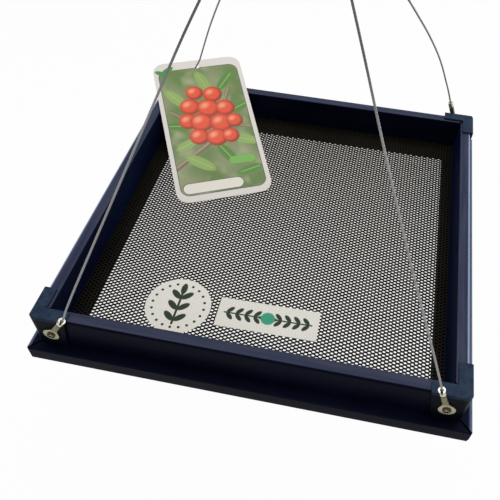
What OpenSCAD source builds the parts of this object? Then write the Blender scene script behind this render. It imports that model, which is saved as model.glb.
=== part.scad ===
// Hanging platform feeder for birds: a square tray of four mitred hollow rails, with a cap and an
// inner key at each corner, a perforated floor held in the rails' slots, and four steel cables that
// end in crimped ring terminals at the tray and in one crimped sleeve with a hanging loop above it.
// Millimetres, +Z up. The origin is on the ground, under the middle of the tray. Front is -Y.

/* [Tray] */
// Distance between the outer faces of the upright walls
tray_side = 300; // [220:5:420]
// Height of the rails
rail_h = 42; // [36:1:70]
// Thickness of the upright wall at its top
wall_top_t = 9.4; // [8.6:0.2:14]
// Thickness of the upright wall at its foot
wall_foot_t = 11.3; // [10.8:0.1:16]
// Thickness of the skin of the hollow rails
skin_t = 1.8; // [1.2:0.1:2]
// Radius along the rails' outer top edge
top_edge_r = 2.2; // [0.5:0.1:3]
// Gap at each mitred corner
mitre_gap = 1.5; // [0.2:0.1:2]

/* [Base of the rails] */
// How far the base flange stands out from the wall
flange_out = 9.3; // [5:0.1:20]
// Height of the base flange
flange_h = 12.5; // [8:0.5:16]
// How far the inner ledge reaches in from the wall's foot
ledge_in = 7.6; // [4:0.2:16]
// Height of the ledge that the floor lies on
ledge_h = 15.2; // [14:0.1:22]
// Chamfer along the ledge's inner foot
ledge_chamfer = 3.6; // [1:0.2:6]
// Radius along the edges of the flange
flange_edge_r = 0.8; // [0.2:0.1:2]

/* [Floor] */
// Thickness of the perforated sheet
floor_t = 1; // [0.5:0.1:2]
// How deep the sheet sits in the slot of each rail
slot_depth = 5; // [3:0.5:7]
// Clearance round the sheet in its slots
slot_clear = 0.4; // [0.2:0.1:0.8]
// Distance between the middles of neighbouring holes
hole_pitch = 26; // [24:1:40]
// Width of a hole across its flats
hole_flats = 18; // [6:0.5:20]
// Plain margin between the ledge and the outermost holes
hole_margin = 2; // [0:0.5:10]

/* [Corner caps] */
// Length of each arm of a cap at its top, from its outer corner
cap_arm = 27; // [24:0.5:45]
// How much shorter an arm is at its foot
cap_taper = 5.5; // [0:0.5:6]
// Wall thickness of a cap
cap_t = 1.9; // [0.8:0.1:2.4]
// Clearance between a cap and the rails
cap_fit = 0.15; // [0.05:0.05:0.4]
// Radius of a cap's upright corner
cap_r = 4.5; // [2.5:0.1:6]
// Radius along a cap's outer top edges
cap_edge_r = 1.2; // [0.4:0.1:2.4]
// Width of rail that a cap covers on top
cap_cover = 7.6; // [5:0.1:8]
// Gap between a cap's skirt and the flange
cap_foot_gap = 0.2; // [0.1:0.1:1]

/* [Corner keys] */
// Length of each leg of a key, from its outer corner
key_leg = 34; // [20:1:60]
// Clearance round a key inside the rails
key_fit = 0.25; // [0.1:0.05:0.5]

/* [Ring terminals] */
// Outer diameter of the ring
ring_d = 11.5; // [10:0.5:18]
// Diameter of the ring's eye
eye_d = 4.4; // [3.8:0.1:5]
// Thickness of the terminal's sheet metal
plate_t = 1.2; // [0.6:0.1:1.6]
// Outer diameter of the crimped barrel
barrel_d = 4.4; // [4:0.1:4.6]
// Bore of the barrel and the collar
barrel_bore = 2.4; // [2.3:0.1:2.8]
// Length of the crimped barrel with its collar
barrel_l = 14; // [10:0.5:18]
// Outer diameter of the notched collar over the barrel
collar_d = 4.8; // [4.6:0.1:8]
// Length of the notched collar
collar_l = 4.6; // [3:0.2:6]
// Open gap between the barrel and the collar
collar_gap = 1.4; // [0.4:0.1:2]
// Distance from the ring's middle to the collar's mouth
terminal_reach = 28; // [26:0.5:40]
// Distance from the wall's end to the ring's middle
ring_inset = 11.5; // [9:0.5:16]
// Height of the ring's middle
ring_z = 27.5; // [20:0.5:32]
// Tilt of the front left terminal towards the middle
lean_front_left = 33; // [0:1:45]
// Tilt of the front right terminal towards the middle
lean_front_right = 19; // [0:1:45]
// Tilt of the back right terminal towards the middle
lean_back_right = 22; // [0:1:45]
// Tilt of the back left terminal towards the middle
lean_back_left = 30; // [0:1:45]

/* [Screws] */
// Diameter of the screws' shanks
shank_d = 3; // [2:0.1:3.6]
// Length of the shanks
shank_l = 11; // [8:0.5:11.5]
// Diameter of the pan heads
head_d = 6; // [5.6:0.2:8.5]
// Height of the pan heads
head_h = 1.3; // [1:0.1:3]
// Clearance round a shank in the key
pilot_clear = 0.1; // [0.05:0.05:0.3]
// Clearance round a shank in the rail and the cap
hole_clear = 0.5; // [0.2:0.1:1]

/* [Cables and hanging loop] */
// Diameter of the steel cables
cable_d = 2; // [1.2:0.1:2.2]
// Diameter of the sleeve that gathers the cables
sleeve_d = 10; // [9:0.5:16]
// Length of the sleeve
sleeve_l = 18; // [17:0.5:30]
// Depth of the two crimp bands round the sleeve
crimp_depth = 0.6; // [0.2:0.1:0.9]

/* [Hang tag] */
// Width of the tag
tag_w = 86; // [60:1:100]
// Height of the tag
tag_h = 162; // [120:1:180]
// Thickness of the card
tag_t = 0.5; // [0.3:0.1:1]
// Radius of the tag's corners
tag_r = 11; // [2:0.5:20]
// Diameter of the hole for the cable
tag_hole_d = 5; // [4:0.5:8]
// Distance from the tag's top edge to the middle of its hole
tag_hole_in = 8; // [6:0.5:12]
// Distance from the tray's left face to the tag's hole
tag_hole_along = 28; // [24:0.5:32]
// How far the tag's hole stands out past the tray's back face
tag_hole_off = 3.5; // [3.2:0.1:4.5]
// Height of the tag's hole, where the back left cable passes it
tag_hole_z = 54.8; // [53:0.1:57]
// Turn of the tag, seen from above
tag_turn = 25.7; // [0:0.1:45]

/* [Labels] */
// Diameter of the round label
round_label_d = 50; // [20:1:70]
// How far the round label's middle is right of the tray's middle
round_label_x = -63; // [-80:1:80]
// Distance from the tray's front face to the round label's middle
round_label_in = 47.5; // [46:0.5:120]
// Width of the oblong label
oblong_label_w = 77; // [30:1:90]
// Depth of the oblong label
oblong_label_h = 26; // [10:1:40]
// How far the oblong label's middle is right of the tray's middle
oblong_label_x = 6.2; // [0:0.2:60]
// Distance from the tray's front face to the oblong label's middle
oblong_label_in = 49.8; // [40:0.2:120]
// Turn of the oblong label
oblong_label_turn = 1.2; // [-5:0.1:5]
// Thickness of the labels
label_t = 0.25; // [0.1:0.05:0.5]

/* [Hidden] */

$fn = 48;
arc_steps = 4; // flats in a rounded edge
small = 0.01; // overrun of a cut past a face

wall_half = tray_side / 2; // middle of the tray to a wall's outer face
base_half = wall_half + flange_out; // middle of the tray to the flange's outer face
ledge_end = wall_foot_t + ledge_in; // wall's outer face to the ledge's inner edge
slot_in = wall_foot_t - slot_depth; // wall's outer face to the end of the slot
slot_h = floor_t + slot_clear;
floor_half = wall_half - slot_in - slot_clear;
floor_top = ledge_h + floor_t;
chamber_floor = ledge_h + slot_h + skin_t; // floor of the upper chamber
chamber_top = rail_h - skin_t;

cap_face = wall_half + cap_fit + cap_t; // middle of the tray to a cap's outer face
cap_top = rail_h + cap_fit + cap_t;
cap_foot = flange_h + cap_foot_gap;
rail_end_trim = cap_r - cap_t; // how far the upright walls stop short of the corner

key_face = wall_half - skin_t - key_fit; // middle of the tray to a key's outer face
key_t = wall_top_t - 2 * skin_t - 2 * key_fit;

ring_x = wall_half - ring_inset;
barrel_y = cap_face + collar_d / 2; // middle of the tray to the axis of a barrel
head_seat = cap_face + plate_t; // middle of the tray to the underside of a screw's head
bore_pitch = 3.4; // between the middles of the sleeve's bores
bore_d = cable_d + 0.3;
cable_bore_l = 8.3;
loop_bore_l = 7.5;

cable_sides = 8;
cable_in = 8; // how deep a cable stands in its barrel
// The cables' free routes from 6 mm above the barrels into the sleeve, on a tray of these sizes
drawn_ring_x = 138.5;
drawn_barrel_y = 154.45;
route_front_left = [
    [-120.2, -153.9, 55.3], [-116, -151, 63.3],
    [-109, -142.5, 80], [-96, -123, 114.5], [-81.5, -102.5, 149], [-66, -81.5, 183],
    [-50, -60.5, 216.5], [-33, -39.5, 249.5], [-18.5, -21.5, 279], [-7, -8, 302],
    [-3, -3.2, 313.3], [-1.7, -1.7, 322], [-1.7, -1.7, 330]
];
route_front_right = [
    [127.6, -153.8, 59.2], [124, -151, 67.5],
    [116, -141.5, 83], [99, -121.5, 115], [82, -101, 148.5], [65.5, -81, 182.5],
    [49.5, -61, 216.5], [33, -40.5, 250.5], [18.5, -22.5, 279.5], [7, -8.5, 302],
    [3.1, -3.3, 313.3], [1.7, -1.7, 322], [1.7, -1.7, 330]
];
route_back_right = [
    [126.2, 153.8, 58.4], [123.1, 150.5, 67],
    [117.5, 140.5, 83], [105.5, 118, 116.5], [91, 94.5, 149], [74, 71, 181],
    [55.5, 49, 213], [36.5, 30, 246.5], [20, 15.5, 277], [7.5, 6, 301.5],
    [3.1, 2.7, 313.2], [1.7, 1.7, 322], [1.7, 1.7, 330]
];
route_back_left = [
    [-121.8, 154, 56.2], [-117.5, 151.5, 64.3],
    [-110.5, 143, 81], [-96, 124, 115], [-80, 103, 149], [-63, 80.5, 181.5],
    [-46, 58.5, 213.5], [-29.5, 37, 247], [-16, 20, 277], [-6, 7.5, 301.5],
    [-2.8, 3.1, 313.2], [-1.7, 1.7, 322], [-1.7, 1.7, 330]
];
// The route of the short cable that makes the hanging loop, out of the sleeve and back into it
route_loop = [
    [-1.7, 0, 333], [-1.7, 0, 340], [-4, 0, 346.5], [-7.5, 0, 353], [-9, 0, 360],
    [-7.8, 0, 366], [-4.5, 0, 370.5], [0, 0, 372], [4.5, 0, 370.5], [7.8, 0, 366],
    [9, 0, 360], [7.5, 0, 353], [4, 0, 346.5], [1.7, 0, 340], [1.7, 0, 333]
];
sleeve_z = 322; // underside of the sleeve, where the cables enter it

// The tag is threaded on the back left cable, and its lower edge rests on the floor
tag_hole_at = [tag_hole_along - wall_half, wall_half + tag_hole_off, tag_hole_z];
tag_rest_z = floor_top + 0.1;
tag_run = tag_h - tag_hole_in;
tag_pitch = asin((tag_hole_at[2] - tag_rest_z) / tag_run);
// The labels' places on the floor
round_label_at = [round_label_x, round_label_in - wall_half];
oblong_label_at = [oblong_label_x, oblong_label_in - wall_half];

navy = [0.13, 0.15, 0.24];
cap_navy = [0.14, 0.19, 0.27];
nylon = [0.20, 0.20, 0.22];
floor_black = [0.10, 0.09, 0.08];
zinc = [0.78, 0.77, 0.72];
dark_steel = [0.36, 0.30, 0.24];
cable_grey = [0.55, 0.55, 0.56];
aluminium = [0.72, 0.73, 0.74];
card_white = [0.90, 0.89, 0.84];

function unit(v) = v / norm(v);

// The points of a rounded corner at b, between its neighbours a and c
function corner_arc(a, b, c, r) =
    r <= 0 ? [b] :
    let (
        to_a = unit(a - b),
        to_c = unit(c - b),
        half = acos(to_a * to_c) / 2,
        middle = b + unit(to_a + to_c) * r / sin(half),
        first = b + to_a * r / tan(half) - middle,
        last = b + to_c * r / tan(half) - middle,
        start = atan2(first[1], first[0]),
        full = atan2(last[1], last[0]) - start,
        sweep = full > 180 ? full - 360 : full < -180 ? full + 360 : full
    )
    [for (i = [0:arc_steps])
        middle + r * [cos(start + sweep * i / arc_steps), sin(start + sweep * i / arc_steps)]];

// An outline with each corner [x, y, radius] rounded
function rounded(corners) =
    let (n = len(corners))
    [for (i = [0:n - 1])
        let (
            before = corners[(i + n - 1) % n],
            here = corners[i],
            after = corners[(i + 1) % n]
        )
        each corner_arc(
            [before[0], before[1]], [here[0], here[1]], [after[0], after[1]], here[2])];

// Distance from the wall's outer face to its inner face at a height
function wall_inner(z) =
    wall_foot_t + (wall_top_t - wall_foot_t) * (z - ledge_h) / (rail_h - ledge_h);

// The section of a rail: across is the distance in from the wall's outer face, and up is Z
module rail_outline() {
    slot_top = ledge_h + slot_h;
    polygon(rounded([
        [-flange_out, 0, flange_edge_r],
        [-flange_out, flange_h, flange_edge_r],
        [0, flange_h, 0],
        [0, rail_h, top_edge_r],
        [wall_top_t, rail_h, top_edge_r / 2],
        [wall_inner(slot_top), slot_top, 0],
        [slot_in, slot_top, 0],
        [slot_in, ledge_h, 0],
        [ledge_end, ledge_h, flange_edge_r],
        [ledge_end, ledge_chamfer, 0],
        [ledge_end - ledge_chamfer, 0, 0]
    ]));
}

module upper_chamber() {
    polygon([
        [skin_t, chamber_floor],
        [wall_inner(chamber_floor) - skin_t, chamber_floor],
        [wall_inner(chamber_top) - skin_t, chamber_top],
        [skin_t, chamber_top]
    ]);
}

module lower_chamber() {
    corner_cut = max(small, ledge_chamfer - skin_t * (2 - sqrt(2)));
    polygon([
        [skin_t - flange_out, skin_t],
        [ledge_end - skin_t - corner_cut, skin_t],
        [ledge_end - skin_t, skin_t + corner_cut],
        [ledge_end - skin_t, ledge_h - skin_t],
        [skin_t, ledge_h - skin_t],
        [skin_t, flange_h - skin_t],
        [skin_t - flange_out, flange_h - skin_t]
    ]);
}

module rail_section() {
    difference() {
        rail_outline();
        upper_chamber();
        lower_chamber();
    }
}

// The plan that a rail keeps: its ends are mitred, with half of the gap on each side
module mitre_plan() {
    back_off = mitre_gap / sqrt(2);
    outer = base_half + 1;
    inner = wall_half - ledge_end - 1;
    polygon([
        [back_off - outer, -outer], [outer - back_off, -outer],
        [inner - back_off, -inner], [back_off - inner, -inner]
    ]);
}

module mitre_block() {
    upright_end = wall_half - rail_end_trim;
    linear_extrude(flange_h) mitre_plan();
    intersection() {
        linear_extrude(rail_h + 1) mitre_plan();
        translate([-upright_end, -base_half - 1, flange_h / 2])
            cube([2 * upright_end, base_half, rail_h]);
    }
}

// The rail of the front side; the others are turned copies, drilled or not for the terminal screws
module rail(drilled) {
    color(navy)
    difference() {
        intersection() {
            translate([-base_half, -wall_half, 0])
                rotate([90, 0, 90])
                linear_extrude(2 * base_half) rail_section();
            mitre_block();
        }
        if (drilled)
            for (x = [-ring_x, ring_x])
                translate([x, -wall_half - 1, ring_z])
                    rotate([-90, 0, 0])
                    cylinder(d = shank_d + hole_clear, h = 1 + skin_t + small);
    }
}

module rail_front() { rail(true); }
module rail_back() { rotate([0, 0, 180]) rail(true); }
module rail_left() { rotate([0, 0, -90]) rail(false); }
module rail_right() { rotate([0, 0, 90]) rail(false); }

// Moves a piece drawn for the back right corner to the corner on side x and y
module at_corner(x, y) {
    mirror([x < 0 ? 1 : 0, 0, 0])
        mirror([0, y < 0 ? 1 : 0, 0])
        children();
}

// A hole along Y through whatever stands between the two distances from the middle of the tray
module screw_hole(d, from, to) {
    translate([ring_x, from, ring_z])
        rotate([-90, 0, 0])
        cylinder(d = d, h = to - from);
}

// The L of an angle piece in plan: outer faces at face, arms of that length and width
module angle_plan(face, arm, width, outer_r, inner_r) {
    polygon(rounded([
        [face, face, outer_r],
        [face - arm, face, 0],
        [face - arm, face - width, 0],
        [face - width, face - width, inner_r],
        [face - width, face - arm, 0],
        [face, face - arm, 0]
    ]));
}

// A bar along X whose section has the cap's rounded outer top edge
module cap_edge_bar() {
    reach = cap_arm + 5;
    translate([cap_face - reach, 0, 0])
        rotate([90, 0, 90])
        linear_extrude(reach + 1)
        polygon(rounded([
            [cap_face - reach, 0, 0],
            [cap_face, 0, 0],
            [cap_face, cap_top, cap_edge_r],
            [cap_face - reach, cap_top, 0]
        ]));
}

// What the tapered arm along X keeps, seen from the side
module cap_arm_side() {
    translate([0, cap_face + 1, 0])
        rotate([90, 0, 0])
        linear_extrude(cap_arm + 5)
        polygon([
            [cap_face + 1, cap_foot - 1], [cap_face + 1, cap_top + 1],
            [cap_face - cap_arm, cap_top + 1], [cap_face - cap_arm, cap_top],
            [cap_face - cap_arm + cap_taper, cap_foot],
            [cap_face - cap_arm + cap_taper, cap_foot - 1]
        ]);
}

module corner_cap(x, y) {
    width = cap_cover + cap_fit + cap_t;
    inside = wall_half + cap_fit;
    color(cap_navy)
    at_corner(x, y)
    difference() {
        intersection() {
            translate([0, 0, cap_foot])
                linear_extrude(cap_top - cap_foot)
                angle_plan(cap_face, cap_arm, width, cap_r, 0.6);
            cap_edge_bar();
            mirror([1, -1, 0]) cap_edge_bar();
            cap_arm_side();
            mirror([1, -1, 0]) cap_arm_side();
        }
        linear_extrude(rail_h + cap_fit)
            polygon(rounded([
                [inside, inside, cap_r - cap_t],
                [inside - 2 * cap_arm, inside, 0],
                [inside - 2 * cap_arm, inside - 2 * cap_arm, 0],
                [inside, inside - 2 * cap_arm, 0]
            ]));
        screw_hole(shank_d + hole_clear, wall_half - 1, cap_face + 1);
    }
}

module corner_cap_front_left() { corner_cap(-1, -1); }
module corner_cap_front_right() { corner_cap(1, -1); }
module corner_cap_back_right() { corner_cap(1, 1); }
module corner_cap_back_left() { corner_cap(-1, 1); }

// The angle key inside the rails' upper chambers, which the screw pulls the terminal and cap against
module corner_key(x, y) {
    color(nylon)
    at_corner(x, y)
    difference() {
        translate([0, 0, chamber_floor + key_fit])
            linear_extrude(chamber_top - chamber_floor - 2 * key_fit)
            angle_plan(key_face, key_leg, key_t, 0.8, 0.8);
        screw_hole(shank_d + pilot_clear, key_face - key_t - 1, key_face + 1);
    }
}

module corner_key_front_left() { corner_key(-1, -1); }
module corner_key_front_right() { corner_key(1, -1); }
module corner_key_back_right() { corner_key(1, 1); }
module corner_key_back_left() { corner_key(-1, 1); }

// The perforated sheet: staggered rows of six-sided holes between the ledges
module floor_screen() {
    column_gap = hole_pitch * sin(60);
    hole_d = hole_flats / cos(30);
    limit = wall_half - ledge_end - hole_margin;
    columns = floor((limit - hole_d / 2) / column_gap);
    rows = ceil(limit / hole_pitch);
    color(floor_black)
    translate([0, 0, ledge_h])
        linear_extrude(floor_t)
        difference() {
            square(2 * floor_half, center = true);
            for (i = [-columns:columns], j = [-rows:rows]) {
                y = (j + (i % 2 == 0 ? 0 : 0.5)) * hole_pitch;
                if (abs(y) <= limit - hole_flats / 2)
                    translate([i * column_gap, y]) circle(d = hole_d, $fn = 6);
            }
        }
}

// A crimped ring terminal on the outer face of a cap: ring at the origin, barrel up Z, outside is -Y.
// The barrel holds the cable, and the notched collar above it is the strip's second pair of wings.
module terminal_body() {
    barrel_foot = terminal_reach - barrel_l;
    collar_foot = terminal_reach - collar_l;
    axis_y = cap_face - barrel_y;
    neck_w = barrel_d - 0.3;
    web_w = 3; // width of the strip that joins the barrel and the collar
    notch_w = 1.5;
    notch_l = collar_l * 0.7;
    difference() {
        union() {
            rotate([90, 0, 0]) cylinder(d = ring_d, h = plate_t);
            rotate([90, 0, 0])
                linear_extrude(plate_t)
                polygon([
                    [-ring_d * 0.33, ring_d * 0.36], [ring_d * 0.33, ring_d * 0.36],
                    [neck_w / 2, ring_d * 0.64], [neck_w / 2, barrel_foot],
                    [web_w / 2, barrel_foot + 1], [web_w / 2, collar_foot + 1],
                    [-web_w / 2, collar_foot + 1], [-web_w / 2, barrel_foot + 1],
                    [-neck_w / 2, barrel_foot], [-neck_w / 2, ring_d * 0.64]
                ]);
            translate([0, axis_y, barrel_foot])
                cylinder(d = barrel_d, h = barrel_l - collar_l - collar_gap);
            translate([0, axis_y, collar_foot]) cylinder(d = collar_d, h = collar_l);
        }
        rotate([90, 0, 0])
            translate([0, 0, -1])
            cylinder(d = eye_d, h = plate_t + 2);
        translate([0, axis_y, barrel_foot - 1]) cylinder(d = barrel_bore, h = barrel_l + 2);
        translate([0, axis_y, terminal_reach])
            rotate([90, 0, 0])
            linear_extrude(collar_d)
            polygon([[0, -notch_l], [notch_w / 2, small], [-notch_w / 2, small]]);
    }
}

// Puts a piece drawn for the front face on the face and corner given, tilted towards the middle
module on_face(x, y, lean) {
    rotate([0, 0, y < 0 ? 0 : 180])
        translate([x * (y < 0 ? 1 : -1) * ring_x, -cap_face, ring_z])
        rotate([0, x * (y < 0 ? -1 : 1) * lean, 0])
        children();
}

module terminal(x, y, lean) {
    color(zinc) on_face(x, y, lean) terminal_body();
}

module terminal_front_left() { terminal(-1, -1, lean_front_left); }
module terminal_front_right() { terminal(1, -1, lean_front_right); }
module terminal_back_right() { terminal(1, 1, lean_back_right); }
module terminal_back_left() { terminal(-1, 1, lean_back_left); }

// A pan-head screw with a cross recess, its head bearing on the ring
module screw(x, y) {
    recess_l = head_d * 0.62;
    recess_w = 1.3;
    recess_depth = head_h * 0.6;
    color(dark_steel)
    on_face(x, y, 0)
    translate([0, -plate_t, 0])
    rotate([90, 0, 0])
    difference() {
        rotate_extrude()
            polygon([
                [0, -shank_l], [shank_d / 2 - 0.5, -shank_l], [shank_d / 2, 0.8 - shank_l],
                [shank_d / 2, 0], [head_d / 2, 0], [head_d / 2, head_h * 0.45],
                [head_d * 0.44, head_h * 0.78], [head_d * 0.3, head_h], [0, head_h]
            ]);
        for (turn = [45, 135])
            rotate([0, 0, turn])
                translate([-recess_l / 2, -recess_w / 2, head_h - recess_depth])
                cube([recess_l, recess_w, recess_depth + 1]);
    }
}

module screw_front_left() { screw(-1, -1); }
module screw_front_right() { screw(1, -1); }
module screw_back_right() { screw(1, 1); }
module screw_back_left() { screw(-1, 1); }

// A point on the axis of a terminal's barrel, up is its distance from the ring's middle
function in_barrel(x, y, lean, up) =
    [x * (ring_x - up * sin(lean)), y * barrel_y, ring_z + up * cos(lean)];

// A cable's whole route: straight in its barrel, then its free route. A wider tray moves that
// outwards, all of the way at the barrel and not at all at the sleeve.
function whole_route(x, y, lean, free) =
    let (
        wider = [x * (ring_x - drawn_ring_x), y * (barrel_y - drawn_barrel_y), 0],
        near_axis = 2
    )
    concat(
        [in_barrel(x, y, lean, terminal_reach - cable_in), in_barrel(x, y, lean, terminal_reach)],
        [for (at = free)
            at + wider * max(0, (abs(at[1]) - near_axis) / (drawn_barrel_y - near_axis))]);

// The direction of a route at its point i
function heading(route, i) =
    unit(route[min(i + 1, len(route) - 1)] - route[max(i - 1, 0)]);

// A round tube swept along a route: one ring of points at each of its points
module tube(route) {
    n = cable_sides;
    last = len(route) - 1;
    points = [for (i = [0:last])
        let (
            along = heading(route, i),
            side = unit(cross(along, [0, 1, 0])),
            up = cross(side, along)
        )
        for (k = [0:n - 1])
            route[i] + cable_d / 2 * (cos(360 * k / n) * side + sin(360 * k / n) * up)];
    walls = [for (i = [0:last - 1], k = [0:n - 1])
        [i * n + k, (i + 1) * n + k, (i + 1) * n + (k + 1) % n, i * n + (k + 1) % n]];
    ends = [[for (k = [0:n - 1]) k], [for (k = [n - 1:-1:0]) last * n + k]];
    color(cable_grey) polyhedron(points = points, faces = concat(walls, ends), convexity = 4);
}

module cable_front_left() { tube(whole_route(-1, -1, lean_front_left, route_front_left)); }
module cable_front_right() { tube(whole_route(1, -1, lean_front_right, route_front_right)); }
module cable_back_right() { tube(whole_route(1, 1, lean_back_right, route_back_right)); }
module cable_back_left() { tube(whole_route(-1, 1, lean_back_left, route_back_left)); }
module hanging_loop() { tube(route_loop); }

// The crimped sleeve: four cables enter it from below, and the loop's two ends from above
module gather_sleeve() {
    r = sleeve_d / 2;
    band = sleeve_l / 7;
    color(aluminium)
    translate([0, 0, sleeve_z])
    difference() {
        rotate_extrude()
            polygon([
                [0, 0], [r - 0.6, 0], [r, 0.6],
                [r, 1.5 * band], [r - crimp_depth, 1.5 * band + crimp_depth],
                [r - crimp_depth, 2.5 * band - crimp_depth], [r, 2.5 * band],
                [r, 4.5 * band], [r - crimp_depth, 4.5 * band + crimp_depth],
                [r - crimp_depth, 5.5 * band - crimp_depth], [r, 5.5 * band],
                [r, sleeve_l - 0.6], [r - 0.6, sleeve_l], [0, sleeve_l]
            ]);
        for (x = [-1, 1], y = [-1, 1])
            translate([x * bore_pitch / 2, y * bore_pitch / 2, -1])
                cylinder(d = bore_d, h = cable_bore_l + 1);
        for (x = [-1, 1])
            translate([x * bore_pitch / 2, 0, sleeve_l - loop_bore_l])
                cylinder(d = bore_d, h = loop_bore_l + 1);
    }
}

module hang_tag() {
    color(card_white)
    translate([tag_hole_at[0], tag_hole_at[1], tag_hole_at[2]])
        rotate([0, 0, tag_turn])
        rotate([tag_pitch, 0, 0])
        translate([0, -tag_run, 0])
        linear_extrude(tag_t)
        difference() {
            polygon(rounded([
                [-tag_w / 2, 0, tag_r], [tag_w / 2, 0, tag_r],
                [tag_w / 2, tag_h, tag_r], [-tag_w / 2, tag_h, tag_r]
            ]));
            translate([0, tag_run]) circle(d = tag_hole_d);
        }
}

module round_label() {
    color(card_white)
    translate([round_label_at[0], round_label_at[1], floor_top])
        cylinder(d = round_label_d, h = label_t);
}

module oblong_label() {
    color(card_white)
    translate([oblong_label_at[0], oblong_label_at[1], floor_top])
        rotate([0, 0, oblong_label_turn])
        translate([-oblong_label_w / 2, -oblong_label_h / 2, 0])
        cube([oblong_label_w, oblong_label_h, label_t]);
}

rail_front();
rail_back();
rail_left();
rail_right();
corner_cap_front_left();
corner_cap_front_right();
corner_cap_back_right();
corner_cap_back_left();
corner_key_front_left();
corner_key_front_right();
corner_key_back_right();
corner_key_back_left();
floor_screen();
terminal_front_left();
terminal_front_right();
terminal_back_right();
terminal_back_left();
screw_front_left();
screw_front_right();
screw_back_right();
screw_back_left();
cable_front_left();
cable_front_right();
cable_back_right();
cable_back_left();
gather_sleeve();
hanging_loop();
hang_tag();
round_label();
oblong_label();
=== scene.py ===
# %% [markdown]
# A hanging tray that offers seed to small birds: four dark hollow rails of recycled plastic, a
# perforated metal floor, a printed card tag, and four thin steel cables that lift it by its
# corners. The solid model is already made. It is loaded first and stays fixed, and this lesson
# dresses it: it adds what is too fine for the solid model and gives every surface a finish made
# of nodes.

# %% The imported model
import math

import bmesh
import bpy
from mathutils import Euler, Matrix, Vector


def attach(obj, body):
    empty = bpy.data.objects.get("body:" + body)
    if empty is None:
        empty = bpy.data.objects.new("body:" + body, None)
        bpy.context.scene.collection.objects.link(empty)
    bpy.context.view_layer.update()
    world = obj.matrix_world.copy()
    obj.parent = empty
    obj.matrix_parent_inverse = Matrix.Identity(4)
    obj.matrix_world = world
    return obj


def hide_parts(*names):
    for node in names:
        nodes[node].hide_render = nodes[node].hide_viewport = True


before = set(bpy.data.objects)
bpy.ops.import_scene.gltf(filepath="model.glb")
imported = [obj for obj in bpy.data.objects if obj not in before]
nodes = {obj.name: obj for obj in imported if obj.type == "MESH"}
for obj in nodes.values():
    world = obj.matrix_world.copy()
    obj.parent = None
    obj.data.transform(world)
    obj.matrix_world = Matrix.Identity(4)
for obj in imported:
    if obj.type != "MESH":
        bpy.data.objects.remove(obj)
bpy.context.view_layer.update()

MM = 0.001

# %% [markdown]
# The camera. The photograph was taken from above the front right corner, close enough for strong
# perspective: near edges look much longer than far ones. Guessing such a view by eye takes many
# tries. Here the edges of the tray in the photograph were solved for the camera's place, turn and
# focal length, so the numbers below are simply the answer. The small shifts say that the picture
# is a crop whose middle isn't the lens's middle.

# %% The camera
CAMERA_AT = Vector((60.30, -347.57, 387.90)) * MM
CAMERA_TURN = [math.radians(a) for a in (39.676, -1.653, 11.138)]

lens = bpy.data.cameras.new("photo_camera")
lens.sensor_width = 36
lens.lens = 42.88
lens.shift_x, lens.shift_y = -0.0781, 0.0255
lens.clip_start = 0.01
camera = bpy.data.objects.new("photo_camera", lens)
camera.location, camera.rotation_euler = CAMERA_AT, CAMERA_TURN
bpy.context.collection.objects.link(camera)
bpy.context.scene.camera = camera
print("camera stands", round(CAMERA_AT.length, 3), "m from the tray's middle")

# %% [markdown]
# Helpers for nodes. A material is a small graph, and so is a Geometry Nodes tree. Writing each
# node as three lines of code hides the idea, so one helper adds a node, sets its properties, and
# fills its inputs with a value or a link from another node's output.

# %% Helpers for node trees
def add(tree, kind, inputs=None, **properties):
    """Adds a node to a tree. Each input takes a plain value or another node's output."""
    made = tree.nodes.new(kind)
    for name, value in properties.items():
        setattr(made, name, value)
    for name, value in (inputs or {}).items():
        if isinstance(value, bpy.types.NodeSocket):
            tree.links.new(value, made.inputs[name])
        else:
            made.inputs[name].default_value = value
    return made


def new_group(name, kind, sockets):
    """A node group with named sockets: (name, "INPUT" or "OUTPUT", type, default)."""
    group = bpy.data.node_groups.new(name, kind)
    for label, way, form, default in sockets:
        socket = group.interface.new_socket(label, in_out=way, socket_type="NodeSocket" + form)
        if default is not None:
            socket.default_value = default
    return group, group.nodes.new("NodeGroupInput").outputs, group.nodes.new("NodeGroupOutput")


def math_node(tree, operation, *values):
    """The output of one Math node."""
    return add(tree, "ShaderNodeMath", dict(enumerate(values)), operation=operation).outputs[0]


def vector_math(tree, operation, *values, out=0):
    """An output of one Vector Math node: 0 is its vector, 1 its number."""
    made = add(tree, "ShaderNodeVectorMath", dict(enumerate(values)), operation=operation)
    return made.outputs[out]


def object_of(mesh, name):
    """A new object at the origin that shows the mesh."""
    made = bpy.data.objects.new(name, mesh)
    bpy.context.collection.objects.link(made)
    return made


def baked(source, name):
    """A plain mesh object of what a Geometry Nodes object makes; the source is deleted."""
    graph = bpy.context.evaluated_depsgraph_get()
    mesh = bpy.data.meshes.new_from_object(source.evaluated_get(graph), depsgraph=graph)
    bpy.data.objects.remove(source, do_unlink=True)
    mesh.name = name
    mesh.calc_loop_triangles()
    print(name, "has", len(mesh.loop_triangles), "triangles")
    return object_of(mesh, name)


def set_inputs(modifier, **values):
    """Fills a Geometry Nodes modifier's inputs by their names, through their identifiers."""
    for item in modifier.node_group.interface.items_tree:
        if item.in_out == "INPUT" and item.name.replace(" ", "_").lower() in values:
            modifier[item.identifier] = values[item.name.replace(" ", "_").lower()]


# %% [markdown]
# Wear and grain that several finishes share. Moulded plastic, paint and plated steel all have the
# same two things: broad clouds, where the surface is a little lighter or duller, and a fine grain.
# A shader group does both from Object coordinates, so it holds still on the part from every side.
# Its Stretch squeezes the pattern along an axis, which turns spots into drawn or extruded lines.

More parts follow.
